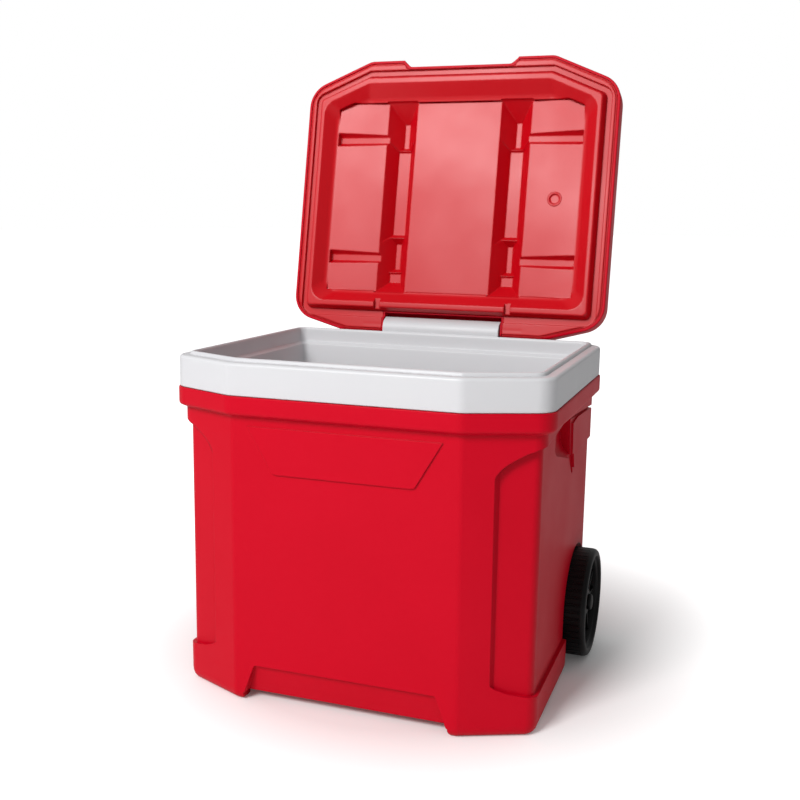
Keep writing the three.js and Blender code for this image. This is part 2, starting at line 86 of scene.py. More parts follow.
def chamfer_line(inset):
    x = CHAMFER_START - inset * math.sin(CHAMFER_ANGLE)
    y = BAND_FRONT + inset * math.cos(CHAMFER_ANGLE)
    return x, y, math.tan(CHAMFER_ANGLE)


def band(front, chamfer, side, rear, least=8):
    """Plan outline of the body, each edge moved inwards by its own inset."""
    x, y, slope = chamfer_line(chamfer)
    front_y = BAND_FRONT + front
    side_x = BAND_HALF - side
    half = [
        (x + (front_y - y) / slope, front_y),
        (side_x, y + (side_x - x) * slope),
        (side_x, BAND_REAR - rear),
    ]
    radii = [max(30 - chamfer, least), max(34 - chamfer, least), max(35 - side, least)]
    return rounded(both_halves(half), radii + radii[::-1])


def ring(inset):
    """The body's outline moved inwards by one inset all round."""
    return band(inset, inset, inset, inset)


def piece(name, vertices, faces):
    mesh = bpy.data.meshes.new(name)
    mesh.from_pydata(vertices, [], faces)
    mesh.validate()
    made = bpy.data.objects.new(name, mesh)
    bpy.context.scene.collection.objects.link(made)
    return made


def loft(levels):
    """Joins convex outlines stacked at rising heights into a closed solid."""
    count = len(levels[0][1])
    vertices = [(x, y, z) for z, outline in levels for x, y in outline]
    faces = [tuple(reversed(range(count)))]
    for level in range(len(levels) - 1):
        for i in range(count):
            a = level * count + i
            b = level * count + (i + 1) % count
            faces.append((a, b, b + count, a + count))
    top = (len(levels) - 1) * count
    faces.append(tuple(range(top, top + count)))
    return piece("loft", vertices, faces)


def signed_area(points):
    total = 0.0
    for i, (x, y) in enumerate(points):
        total += points[i - 1][0] * y - x * points[i - 1][1]
    return total / 2


def prism(axis, points, start, end):
    """Carries a flat outline along X (y, z), Y (x, z) or Z (x, y)."""
    if (signed_area(points) < 0) != (axis == "Y"):
        points = points[::-1]
    place = {
        "X": lambda u, v, w: (w, u, v),
        "Y": lambda u, v, w: (u, w, v),
        "Z": lambda u, v, w: (u, v, w),
    }[axis]
    count = len(points)
    vertices = [place(u, v, start) for u, v in points] + [place(u, v, end) for u, v in points]
    faces = [tuple(reversed(range(count))), tuple(range(count, 2 * count))]
    for i in range(count):
        j = (i + 1) % count
        faces.append((i, j, j + count, i + count))
    return piece("prism", vertices, faces)


def turned(profile, steps, centre, axis="X"):
    """Spins a closed (radius, distance along the axis) outline round an axis."""
    count = len(profile)
    if signed_area(profile) > 0:
        profile = profile[::-1]
    vertices = []
    for step in range(steps):
        angle = 2 * math.pi * step / steps
        for radius, along in profile:
            u, v = radius * math.cos(angle), radius * math.sin(angle)
            place = {"X": (along, u, v), "Y": (v, along, u), "Z": (u, v, along)}[axis]
            vertices.append(tuple(a + b for a, b in zip(place, centre)))
    faces = []
    for step in range(steps):
        following = (step + 1) % steps
        for i in range(count):
            j = (i + 1) % count
            a, b = step * count + i, step * count + j
            c, d = following * count + j, following * count + i
            faces.append((a, d, c, b))
    return piece("turned", vertices, faces)


def rod(axis, radius, start, end, u, v, steps=48):
    """A round bar along an axis. u and v place it in X, Y, Z order."""
    circle = []
    for step in range(steps):
        angle = 2 * math.pi * step / steps
        circle.append((u + radius * math.cos(angle), v + radius * math.sin(angle)))
    return prism(axis, circle, start, end)


def mirrored(thing):
    """Replaces a solid by its mirror image on the other side."""
    vertices = [(-v.co.x, v.co.y, v.co.z) for v in thing.data.vertices]
    faces = [tuple(reversed(tuple(f.vertices))) for f in thing.data.polygons]
    bpy.data.objects.remove(thing)
    return piece("mirrored", vertices, faces)


def worked(base, *steps):
    """Adds, cuts or keeps solids one after another. Each step is (word, solid)."""
    words = {"add": "UNION", "cut": "DIFFERENCE", "keep": "INTERSECT"}
    for word, tool in steps:
        change = base.modifiers.new(word, "BOOLEAN")
        change.operation = words[word]
        change.solver = "MANIFOLD"
        change.object = tool
    bpy.context.view_layer.update()
    graph = bpy.context.evaluated_depsgraph_get()
    mesh = bpy.data.meshes.new_from_object(base.evaluated_get(graph))
    made = bpy.data.objects.new("worked", mesh)
    bpy.context.scene.collection.objects.link(made)
    for spent in [base] + [tool for word, tool in steps]:
        bpy.data.objects.remove(spent)
    return made


def on_both_sides(word, make):
    """The same solid on the right and, mirrored, on the left."""
    return [(word, make()), (word, mirrored(make()))]


def finished(name, thing, material, place=to_frame, crease=32):
    """Names a solid, places it in the row frame and gives it its finish."""
    thing.name = name
    thing.data.name = name
    thing.data.transform(place)
    thing.data.materials.clear()
    thing.data.materials.append(material)
    for face in thing.data.polygons:
        face.use_smooth = True
        face.material_index = 0
    thing.data.set_sharp_from_angle(angle=math.radians(crease))
    weighted = thing.modifiers.new("even_normals", "WEIGHTED_NORMAL")
    weighted.keep_sharp = True
    return thing


def linear(code):
    """A linear colour from an sRGB hex code."""
    channels = [int(code[i:i + 2], 16) / 255 for i in (1, 3, 5)]
    return tuple(c / 12.92 if c <= 0.04045 else ((c + 0.055) / 1.055) ** 2.4 for c in channels) + (1,)


def add(tree, kind, values={}, links={}, **settings):
    """Adds a shader node, sets its settings and values, and links its inputs."""
    node = tree.nodes.new(kind)
    for key, value in settings.items():
        setattr(node, key, value)
    for socket, value in values.items():
        node.inputs[socket].default_value = value
    for socket, source in links.items():
        tree.links.new(source, node.inputs[socket])
    return node


def moulded(name, colour, deep, roughness, grain, height, edge, sheen):
    """Moulded plastic: a fine grain, uneven gloss and softly rounded edges. Sizes in mm."""
    material = bpy.data.materials.new(name)
    material.use_nodes = True
    tree = material.node_tree
    tree.nodes.clear()
    where = add(tree, "ShaderNodeTexCoord").outputs["Object"]
    fine = add(tree, "ShaderNodeMapping", {"Scale": (1000 / grain,) * 3}, {"Vector": where})
    broad = add(tree, "ShaderNodeMapping", {"Scale": (1000 / 140,) * 3}, {"Vector": where})
    grains = add(tree, "ShaderNodeTexNoise", {"Scale": 1.0, "Detail": 3.0}, {"Vector": fine.outputs[0]})
    clouds = add(tree, "ShaderNodeTexNoise", {"Scale": 1.0, "Detail": 4.0}, {"Vector": broad.outputs[0]})
    tint = add(
        tree, "ShaderNodeMixRGB", {"Color1": linear(colour), "Color2": linear(deep)},
        {"Fac": clouds.outputs["Fac"]},
    )
    gloss = add(
        tree, "ShaderNodeMapRange",
        {"From Min": 0.3, "From Max": 0.7, "To Min": roughness - 0.04, "To Max": roughness + 0.05},
        {"Value": clouds.outputs["Fac"]},
    )
    soft = add(tree, "ShaderNodeBevel", {"Radius": edge / 1000}, samples=6)
    bump = add(
        tree, "ShaderNodeBump", {"Strength": 0.35, "Distance": height / 1000},
        {"Height": grains.outputs["Fac"], "Normal": soft.outputs["Normal"]},
    )
    surface = add(
        tree, "ShaderNodeBsdfPrincipled", {"Specular IOR Level": sheen},
        {"Base Color": tint.outputs[0], "Roughness": gloss.outputs[0], "Normal": bump.outputs[0]},
    )
    add(tree, "ShaderNodeOutputMaterial", {}, {"Surface": surface.outputs[0]})
    return material


red_plastic = moulded("red_polyethylene", "#C3001F", "#BB001B", 0.42, 1.1, 0.05, 1.8, 0.1)


def body_form():
    """The outside: a rounded foot edge, slightly flared walls and the proud collar."""
    lower = [
        (0, band(23.5, 24, 23, 22)),
        (1, band(20.6, 19.8, 18.8, 18.4)),
        (3.4, band(17.6, 16.4, 15.2, 14.8)),
        (7.2, band(15.2, 13.8, 12.4, 12.4)),
        (12, band(13.9, 12.4, 10.8, 11.3)),
        (18, band(13.4, 12, 10.2, 11)),
        (414, band(9.7, 9.3, 9.3, 9.3)),
    ]
    collar = [
        (424, ring(9.3)), (425.6, ring(8.6)), (428.6, ring(1.6)), (429.8, ring(-0.6)), (431.6, ring(-1.7)),
        (434, ring(-2)), (453.6, ring(-2)), (455, ring(-1.5)), (455.7, ring(-0.3)),
    ]
    return loft(lower + collar)


def side_recess():
    """The sunk side panel, which runs round the corner onto the chamfer."""
    profile = [
        (-168, 112), (-156, 93), (-151, 80), (-146, 71), (-139, 64), (-129, 59), (-116, 56.5), (-100, 56),
        (320, 56), (320, 397), (196, 407), (138, 412), (60, 416.5), (-9, 419), (-60, 414), (-105, 409.5),
        (-120, 407.3), (-127.5, 405.2), (-134, 400.3), (-140, 392.5), (-144.5, 386), (-148, 379),
        (-150.5, 371), (-152.5, 360), (-156, 345), (-168, 320),
    ]
    plan = [(202.3, -169.6), (400, -169.6), (400, 320), (222, 320), (222, -118.4), (213.5, -140.5)]
    skin = band(0, 18.3, 16, -30)
    return worked(
        prism("X", profile, 150, 330), ("keep", prism("Z", plan, -10, 480)),
        ("cut", loft([(-20, skin), (490, skin)])),
    )


def hand_pocket():
    """The lifting recess high on each side."""
    section = [
        (300, 345), (265, 349), (254, 362), (249, 376), (248, 408), (252, 416), (265, 418), (300, 418),
    ]
    outline = [
        (-28, 384), (-23, 378), (-12, 373), (84, 350), (97, 347), (88, 392), (86, 414), (-9, 418.5),
        (-24, 409), (-28, 400),
    ]
    return worked(prism("Y", section, -40, 110), ("keep", prism("X", outline, 200, 330)))


def wheel_well():
    """The arch over a wheel, open below the axle."""
    arch = rod("X", 94, 246, 340, WHEEL_Y, WHEEL_Z, 96)
    below = prism("Z", [(246, 100), (340, 100), (340, 340), (246, 340)], -30, WHEEL_Z)
    return worked(arch, ("add", below))


def side_pad():
    """The slightly raised block that runs from the hand pocket round the rear corner."""
    outline = [
        (99, 401), (103, 346), (118, 321), (128, 344), (150, 349), (300, 349), (300, 396), (196, 402),
        (140, 405),
    ]
    plan = [(255, 90), (267, 90), (267, 267.5), (264.5, 270.4), (261, 271), (255, 271)]
    return worked(prism("X", outline, 200, 300), ("keep", prism("Z", plan, 300, 420)))


def top_groove():
    """The groove over the hand pocket and the block behind it."""
    outline = [
        (-14, 415), (-9, 419.5), (90, 416.5), (196, 410), (300, 402), (300, 395), (196, 402.5), (90, 409),
        (-9, 411),
    ]
    return prism("X", outline, 261.4, 300)


def corner_notch():
    """The small wedge under the rear corner of the hand pocket."""
    return prism("X", [(82, 354), (112, 352), (124, 320), (116, 319)], 261.4, 300)


def front_scoop():
    """The finger scoop along the bottom of the front, between the feet."""
    face = [(-137, 57), (-140, 52), (-158, 3), (-162, -4), (162, -4), (158, 3), (140, 52), (137, 57)]
    depth = [(-220, 60), (-220, -4), (-147, -4), (-161.5, 54.5), (-163.5, 57)]
    return worked(prism("Y", face, -220, -100), ("keep", prism("X", depth, -200, 200)))


def belly():
    """The shallow hollow underneath that leaves a foot along each side."""
    half = [(152, -200), (160, -136), (200, -120), (230, -96), (230, 99), (300, 99), (300, 340)]
    return prism("Z", both_halves(half), -5, 12)


# The inside stops one wall short of the wheel wells, hand pockets, axle bosses
# and front scoop.
inside = loft([
    (16, band(24, 26, 25, 24)), (425, band(13, 22, 22, 13)), (434, ring(1.2)), (470, ring(1.2)),
])
well_side = [(-240, -20), (400, -20), (400, 205), (-240, 205)]
pocket_side = [(-46, 330), (116, 330), (116, 424), (-46, 424)]
guard = on_both_sides("cut", lambda: prism("X", well_side, 242, 330))
guard += on_both_sides("cut", lambda: prism("X", pocket_side, 245.2, 330))
boss = on_both_sides("cut", lambda: rod("X", 17, 212, 260, WHEEL_Y, WHEEL_Z))
scoop_guard = prism("Y", [(-145, 63), (-166, -10), (166, -10), (145, 63)], -220, -143)
inside = worked(inside, ("cut", scoop_guard), *guard, *boss)
plate_face = [(-105, 348.6), (-99, 347), (99, 347), (105, 348.6), (142.8, 413), (-142.8, 413)]
plate = prism("Y", plate_face, -172.4, -165)
shell = worked(
    body_form(), ("add", plate), *on_both_sides("cut", side_recess), *on_both_sides("add", side_pad),
    *on_both_sides("cut", hand_pocket), *on_both_sides("cut", top_groove),
    *on_both_sides("cut", corner_notch), *on_both_sides("cut", wheel_well),
    ("cut", front_scoop()), ("cut", belly()), ("cut", inside),
    *on_both_sides("cut", lambda: rod("X", AXLE_BORE, 216, 260, WHEEL_Y, WHEEL_Z)),
    ("cut", rod("Y", DRAIN_BORE, 240, 300, DRAIN[0], DRAIN[2])),
)
shell = finished("cooler_shell", shell, red_plastic)
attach(shell, "body")
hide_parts("body_shell", "body_foam")

# ============================================================ liner
# The white polypropylene tub. Its collar makes the white band round the top,
# a raised ridge runs round the mouth, and the hinge block stands at the rear.

BAND_BOTTOM = 456.0
BAND_TOP = 502.4
RIDGE_TOP = 507.0
HINGE_Y = 285.1
HINGE_Z = 515.9
BARREL_RADIUS = 15.0
PIN_BORE = 4.3

white_plastic = moulded("white_polypropylene", "#CCCCCE", "#C8C8CB", 0.4, 0.9, 0.03, 1.6, 0.35)


def mouth(inset):
    """Plan outline of the tub's mouth, set forward at the rear for the hinge block."""
    return band(inset, inset, inset, inset - 7)


def tub_form(grow, top):
    """The inside of the tub, moved outwards by the growth."""
    return loft([
        (45 - grow, mouth(62 - grow)), (46.5 - grow, mouth(57 - grow)),
        (50 - grow / 2, mouth(52.5 - grow)), (57 - grow / 2, mouth(49.5 - grow)),
        (430, mouth(37 - grow)), (476.5 - 0.8 * grow, mouth(31.6 - grow)),
        (478.8 - 0.8 * grow, mouth(30.8 - grow)), (480.6 - 0.8 * grow, mouth(28.5 - grow)),
        (483 - 0.8 * grow, mouth(24.4 - grow)), (486 - 0.8 * grow, mouth(23.4 - grow)),
        (498, mouth(23 - grow)), (top, mouth(23 - grow)),
    ])


def tub_step(grow):
    """The tub steps inwards over each wheel well."""
    side = 206 - grow
    back = 86 - grow
    return prism("Z", [(side, back), (330, back), (330, 330), (side, 330)], 0, 194 + grow)


collar = loft([
    (BAND_BOTTOM, ring(1.4)), (BAND_BOTTOM + 0.5, ring(0.5)), (BAND_BOTTOM + 1.8, ring(0)),
    (BAND_TOP - 5, ring(0)), (BAND_TOP - 3.2, ring(0.35)), (BAND_TOP - 1.6, ring(1.4)),
    (BAND_TOP - 0.5, ring(3.1)), (BAND_TOP, ring(5)),
])
collar_hollow = loft([(440, ring(3)), (BAND_TOP - 3.2, ring(3))])
ridge = loft([
    (BAND_TOP - 3, mouth(15)), (BAND_TOP + 0.6, mouth(15.3)), (BAND_TOP + 2.6, mouth(15.8)),
    (BAND_TOP + 3.8, mouth(16.7)), (RIDGE_TOP - 0.1, mouth(18.2)), (RIDGE_TOP, mouth(19.2)),
])
opening = loft([
    (RIDGE_TOP - 4, mouth(23)), (RIDGE_TOP - 1.6, mouth(22.4)), (RIDGE_TOP - 0.4, mouth(21.2)),
    (RIDGE_TOP + 1, mouth(19.6)),
])
barrel = []
for step in range(13):
    turn = math.radians(120 - 10 * step)
    barrel.append((HINGE_Y + BARREL_RADIUS * math.cos(turn), HINGE_Z + BARREL_RADIUS * math.sin(turn)))
block_side = [
    (277.5, 474), (272, 480), (264.5, 484), (264.5, 512), (265.3, 517), (267.5, 521.8), (271, 525.8),
]
block_side += barrel + [(300.1, 508), (297, 497), (290, 484)]
wide_tub = worked(tub_form(3, BAND_TOP - 2), *on_both_sides("cut", lambda: tub_step(0)))
tub_space = worked(tub_form(0, RIDGE_TOP + 4), *on_both_sides("cut", lambda: tub_step(3)))
liner = worked(
    collar, ("cut", collar_hollow), ("add", wide_tub), ("add", ridge), ("cut", tub_space), ("cut", opening),
    ("add", prism("X", block_side, -104, 104)),
    *on_both_sides("cut", lambda: rod("X", PIN_BORE, 84.7, 120, HINGE_Y, HINGE_Z)),
    ("cut", rod("Y", DRAIN_BORE, 215, 300, DRAIN[0], DRAIN[2])),
)
liner = finished("cooler_liner", liner, white_plastic)
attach(liner, "body")
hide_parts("liner")

# ============================================================ lid cover
# The red outside of the lid, one moulding with a crowned top, a scooped front
# edge for the fingers and a knuckle on each side of the hinge block.

LID_HALF = 279.3
LID_FRONT = -182.5
LID_REAR = 300.0
LID_BOTTOM = 503.0
LID_TOP = 560.0
OPEN_ANGLE = 100.7
KNUCKLE = (106.0, 143.0)

swing = Matrix.Translation((0, HINGE_Y, HINGE_Z)) @ Matrix.Rotation(math.radians(-OPEN_ANGLE), 4, "X")
open_lid = to_frame @ swing @ Matrix.Translation((0, -HINGE_Y, -HINGE_Z))


def lid_outline(inset):
    """Plan outline of the closed lid, moved inwards by the inset."""
    x, y, slope = chamfer_line(inset - 0.9)
    front_y = LID_FRONT + inset
    side_x = LID_HALF - inset
    rear_y = LID_REAR - inset
    tilt = math.radians(15.4)
    reach = 256 * math.sin(tilt) + 278 * math.cos(tilt) - inset
    half = [
        (x + (front_y - y) / slope, front_y),
        (side_x, y + (side_x - x) * slope),
        (side_x, (reach - side_x * math.sin(tilt)) / math.cos(tilt)),
        ((reach - rear_y * math.cos(tilt)) / math.sin(tilt), rear_y),
    ]
    radii = [max(radius - inset, 8) for radius in (30, 46, 44, 32)]
    return rounded(both_halves(half), radii + radii[::-1])


def lid_form():
    """The outside of the shut lid, with a softly rounded top edge."""
    return loft([
        (LID_BOTTOM, lid_outline(1.6)), (LID_BOTTOM + 0.5, lid_outline(0.6)),
        (LID_BOTTOM + 2, lid_outline(0)), (536, lid_outline(0.6)), (543, lid_outline(1.1)),
        (548.5, lid_outline(2.4)), (553, lid_outline(4.8)),
        (556.6, lid_outline(8.6)), (558.9, lid_outline(13.5)), (LID_TOP, lid_outline(19.5)),
    ])


def lid_inside(grow):
    """The lid's outline drawn inwards, to hollow the cover."""
    insets = ((490, 0.6), (540, 1), (549, 4), (554, 10), (556, 20))
    return loft([(z, lid_outline(inset + grow)) for z, inset in insets])


def hinge_notch(grow):
    """The opening the lid needs round the hinge block, shut or open."""
    radius = 21.2 + grow
    profile = [(HINGE_Y - radius, 480)]
    for step in range(16):
        turn = math.radians(180 - 6 * step)
        profile.append((HINGE_Y + radius * math.cos(turn), HINGE_Z + radius * math.sin(turn)))
    profile += [(320, HINGE_Z + radius), (320, 480)]
    return prism("X", profile, -105.6 - grow, 105.6 + grow)


def finger_notch(grow):
    """The scoop in the lid's front edge that the fingers lift by."""
    half = [
        (106 + grow, -190), (104 + grow, -183.5), (101 + grow, -179), (93.5 + grow, -172.5 + grow),
        (90 + grow, -170.4 + grow), (86, -170 + grow),
    ]
    return prism("Z", both_halves(half), 480, 548 + grow)


def plug_form(grow):
    """The deep rim that fills the mouth of the tub."""
    rows = [
        (491.5, 32.4, 31.4, 30.4, 23.4), (491.9, 31.4, 30.4, 29.4, 22.4), (493, 30.4, 29.4, 28.4, 21.4),
        (503, 24.8, 24.8, 24.4, 17.4), (600, 24.5, 24.5, 24.2, 17.2),
    ]
    return loft([(z + grow, band(a + grow, b + grow, c + grow, d + grow)) for z, a, b, c, d in rows])


def ridge_channel(grow):
    """The channel that clears the raised ridge round the tub's mouth."""
    edge = band(14.5 - grow, 14.5 - grow, 14.5 - grow, 5.5 - grow)
    return loft([(480, edge), (508.5 + grow, edge)])


def rear_relief():
    """The slanted rear face that lets the opened lid clear the tub."""
    return prism("X", [(294.5, 480), (320, 480), (320, 510), (300.1, 510), (294.5, 503)], -320, 320)


def knuckle():
    """The eye on each side that turns about the hinge pin."""
    lug = prism("X", [(HINGE_Y, 510.5), (298, 509.5), (298, 522), (HINGE_Y, 521.5)], *KNUCKLE)
    return worked(rod("X", 11, KNUCKLE[0], KNUCKLE[1], HINGE_Y, HINGE_Z), ("add", lug))


crown = loft([(558.4, lid_outline(52)), (559.3, lid_outline(50)), (564, lid_outline(49))])
hollow = worked(lid_inside(4), ("cut", finger_notch(4)), ("cut", hinge_notch(3)))
channel_only = worked(ridge_channel(0), ("cut", plug_form(0)))
cover = worked(
    lid_form(), ("cut", finger_notch(0)), ("cut", hinge_notch(0)), ("cut", hollow), ("cut", channel_only),
    ("cut", crown), *on_both_sides("add", knuckle),
    *on_both_sides("cut", lambda: rod("X", PIN_BORE, 100, 139.8, HINGE_Y, HINGE_Z)), ("cut", rear_relief()),
)
cover = finished("lid_outside", cover, red_plastic, open_lid)
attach(cover, "lid")
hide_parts("lid_cover", "lid_foam")

# ============================================================ lid pan
# The red inside of the lid, a formed panel held in the cover by the foam. Its
# deep rim plugs the mouth of the tub, and long channels stiffen it.

PANEL_EDGE = 511.0
PANEL_SHOULDER = 517.5
PANEL_MIDDLE = 516.5
CHANNEL_MOUTH_Z = 514.0

lid_plastic = moulded("red_polyethylene_formed", "#C40012", "#BC0010", 0.36, 1.1, 0.04, 3.2, 0.34)


def lid_hollows(grow):
    """The sloped rim, the three gently crowned panels and the two stepped channels."""
    levels = [
        (480, 40.4, 39.4, 35.4, 30.4), (491.5, 40.6, 39.6, 35.6, 30.6), (492.2, 41.6, 40.6, 36.6, 31.6),
        (494.5, 44.5, 43, 38.8, 33.4), (507.5, 61, 57, 51.5, 45.5), (510, 64.4, 60.4, 54.5, 48),
        (PANEL_EDGE, 69, 65, 59, 52),
    ]
    middle = loft([
        (z + (grow if z > 500 else 0), band(a - grow, b - grow, c - grow, d - grow, 24))
        for z, a, b, c, d in levels
    ])
    dome = [
        (-221, 506), (221, 506), (221, PANEL_EDGE + grow), (131, PANEL_SHOULDER + grow),
        (76, PANEL_MIDDLE + grow), (-76, PANEL_MIDDLE + grow), (-131, PANEL_SHOULDER + grow),
        (-221, PANEL_EDGE + grow),
    ]
    steps = [("add", prism("Y", dome, -110, 226))]
    for side in (1, -1):
        for pocket in (
            ((-112, -16), (-80, -36), 548, 4.8), ((-47, 142), (-28, 121), 543, 11.4),
            ((114, 202), (136, 182), 548, 4.8), ((172, 228), (191, 207), 540, 10.5),
        ):
            steps.append(("add", trough_pocket(*pocket, grow, side)))
    return worked(middle, *steps)


def trough_pocket(mouth_y, floor_y, top, half, grow, side):
    """One length of a channel in the lid, with sloped sides and ends and a narrow flat top."""
    wide = [103.2 - 28, 103.2 + 28, *mouth_y]
    narrow = [102.5 - half, 102.5 + half, *floor_y]
    levels = []
    for rise, narrowing in ((-0.25, 0), (0, 0), (0.08, 0.05), (0.92, 0.955), (1, 1)):
        x0, x1, y0, y1 = [a + (b - a) * narrowing for a, b in zip(wide, narrow)]
        z = CHANNEL_MOUTH_Z + (top - CHANNEL_MOUTH_Z) * rise + (grow if rise > 0 else 0)
        box = [
            (x0 - grow, y0 - grow), (x1 + grow, y0 - grow), (x1 + grow, y1 + grow), (x0 - grow, y1 + grow),
        ]
        levels.append((z, box if side > 0 else [(-x, y) for x, y in reversed(box)]))
    return loft(levels)


def cross_groove(y0, y1, grow, side):
    """A groove across a side panel, flat between y0 and y1."""
    profile = [
        (y0 - 8.5 - grow, 503), (y0 - 5.5 - grow, 511.5), (y0 - 4.6 - grow, 513.8),
        (y0 - 1.2 - 0.7 * grow, 520 + grow), (y0 + 0.6, 522 + grow), (y1 - 0.6, 522 + grow),
        (y1 + 1.2 + 0.7 * grow, 520 + grow),
        (y1 + 4.6 + grow, 513.8), (y1 + 5.5 + grow, 511.5), (y1 + 8.5 + grow, 503),
    ]
    return prism("X", profile, *sorted((side * 120, side * (221 + grow))))


def land_gap(grow, side):
    """The rear land is cut into three by a slot on each side of the hinge."""
    plan = [(112 - grow, 236), (122.5 + grow, 236), (122.5 + grow, 264), (112 - grow, 264)]
    return prism("Z", [(side * x, y) for x, y in plan], 480, 499 + grow)


def pan_form(grow, edge_inset):
    """The pan's underside, moved up by the growth."""
    edge = lid_outline(edge_inset)
    groove = lid_outline(8 - grow)
    flange = loft([(LID_BOTTOM + 1.6 + grow, edge), (601, edge)])
    lip = loft([(LID_BOTTOM + grow, groove), (601, groove)])
    grooves = [
        ("cut", cross_groove(a, b, grow, side)) for a, b in ((-51, -39), (160, 172)) for side in (1, -1)
    ]
    grooves += [("cut", land_gap(grow, side)) for side in (1, -1)]
    return worked(
        flange, ("add", lip), ("cut", ridge_channel(grow)), ("add", plug_form(grow)),
        ("cut", lid_hollows(grow)), *grooves,
    )


def knuckle_room():
    """The room the pan leaves for the cover's knuckle."""
    lug = prism("X", [(HINGE_Y, 509.5), (300, 509), (300, 522.5), (HINGE_Y, 522)], 100, 143.5)
    return worked(rod("X", 11.5, 100, 143.5, HINGE_Y, HINGE_Z), ("add", lug))


pan = worked(
    pan_form(0, 5), ("cut", pan_form(3, 4)), ("cut", finger_notch(4.3)), ("cut", hinge_notch(3.3)),
    *on_both_sides("cut", knuckle_room), ("cut", rear_relief()), ("cut", rod("Z", 10.3, 505, 530, 180, 59)),
)
pan = finished("lid_inside", pan, lid_plastic, open_lid)
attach(pan, "lid")
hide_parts("lid_pan")

# ============================================================ lid foam plug
# The round plastic plug pressed into the hole the lid's foam was poured through.
# It has a raised ring and a shallow dish in its middle.

plug_profile = [
    (0.01, 515.4), (7.4, 515.4), (8.1, 514.9), (8.6, 513.1), (9.3, 512.6), (11.8, 512.6), (12.5, 513.2),
    (12.5, 514.2), (10, 514.4), (10, 517), (0.01, 517),
]
foam_plug = turned(plug_profile, 64, (180, 59, 0), "Z")
foam_plug = finished("foam_filler_plug", foam_plug, lid_plastic, open_lid)
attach(foam_plug, "lid")
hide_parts("lid_foam_plug")

# ============================================================ hinge pins and axles
# Zinc-plated steel rod. Two short pins carry the lid in the hinge block, and two
# stub axles pressed into the shell carry the wheels, each behind a washer.

steel = bpy.data.materials.new("zinc_plated_steel")
steel.use_nodes = True
steel_tree = steel.node_tree
steel_tree.nodes.clear()
steel_where = add(steel_tree, "ShaderNodeTexCoord").outputs["Object"]
steel_map = add(
    steel_tree, "ShaderNodeMapping", {"Scale": (1000 / 12, 1000 / 0.5, 1000 / 0.5)},
    {"Vector": steel_where},
)
steel_lines = add(
    steel_tree, "ShaderNodeTexNoise", {"Scale": 1.0, "Detail": 3.0}, {"Vector": steel_map.outputs[0]},
)
steel_gloss = add(
    steel_tree, "ShaderNodeMapRange", {"To Min": 0.22, "To Max": 0.42},
    {"Value": steel_lines.outputs["Fac"]},
)
steel_soft = add(steel_tree, "ShaderNodeBevel", {"Radius": 0.0006}, samples=4)
steel_bump = add(
    steel_tree, "ShaderNodeBump", {"Strength": 0.2, "Distance": 0.0001},
    {"Height": steel_lines.outputs["Fac"], "Normal": steel_soft.outputs["Normal"]},
)
steel_face = add(
    steel_tree, "ShaderNodeBsdfPrincipled", {"Base Color": linear("#B4B7BB"), "Metallic": 1.0},
    {"Roughness": steel_gloss.outputs[0], "Normal": steel_bump.outputs[0]},
)
add(steel_tree, "ShaderNodeOutputMaterial", {}, {"Surface": steel_face.outputs[0]})
for node in ("hinge_pin", "axle", "axle_washer"):
    for side in ("right", "left"):
        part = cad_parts[f"{node}_{side}"]
        part.data.materials.clear()
        part.data.materials.append(steel)

# ============================================================ wheels
# Black moulded wheels 175 mm across. Each has a tread with shallow bars, a
# raised rim, a sunk face with ribs between hub and rim, and a bored hub.

RIB_COUNT = 12
TREAD_COUNT = 48

black_plastic = moulded("black_polypropylene", "#060607", "#040405", 0.42, 1.0, 0.06, 1.4, 0.2)


def repeated(name, seed_piece, count, material):
    """Geometry nodes: copies a piece evenly round the X axis and makes them real."""
    group = bpy.data.node_groups.new(name, "GeometryNodeTree")
    group.interface.new_socket("Geometry", in_out="INPUT", socket_type="NodeSocketGeometry")
    number = group.interface.new_socket("Count", in_out="INPUT", socket_type="NodeSocketInt")
    finish = group.interface.new_socket("Finish", in_out="INPUT", socket_type="NodeSocketMaterial")
    group.interface.new_socket("Geometry", in_out="OUTPUT", socket_type="NodeSocketGeometry")
    given = add(group, "NodeGroupInput")
    index = add(group, "GeometryNodeInputIndex")
    step = add(group, "ShaderNodeMath", {0: 2 * math.pi}, {1: given.outputs["Count"]}, operation="DIVIDE")
    angle = add(
        group, "ShaderNodeMath", {}, {0: index.outputs[0], 1: step.outputs[0]}, operation="MULTIPLY",
    )
    turn = add(group, "ShaderNodeCombineXYZ", {}, {"X": angle.outputs[0]})
    spots = add(group, "GeometryNodePoints", {}, {"Count": given.outputs["Count"]})
    copies = add(
        group, "GeometryNodeInstanceOnPoints", {},
        {"Points": spots.outputs[0], "Instance": given.outputs["Geometry"], "Rotation": turn.outputs[0]},
    )
    real = add(group, "GeometryNodeRealizeInstances", {}, {"Geometry": copies.outputs[0]})
    coated = add(
        group, "GeometryNodeSetMaterial", {},
        {"Geometry": real.outputs[0], "Material": given.outputs["Finish"]},
    )
    add(group, "NodeGroupOutput", {}, {"Geometry": coated.outputs[0]})
    change = seed_piece.modifiers.new(name, "NODES")
    change.node_group = group
    change[number.identifier] = count
    change[finish.identifier] = material
    bpy.context.view_layer.update()
    graph = bpy.context.evaluated_depsgraph_get()
    mesh = bpy.data.meshes.new_from_object(seed_piece.evaluated_get(graph))
    bpy.data.objects.remove(seed_piece)
    made = bpy.data.objects.new(name, mesh)
    bpy.context.scene.collection.objects.link(made)
    return made


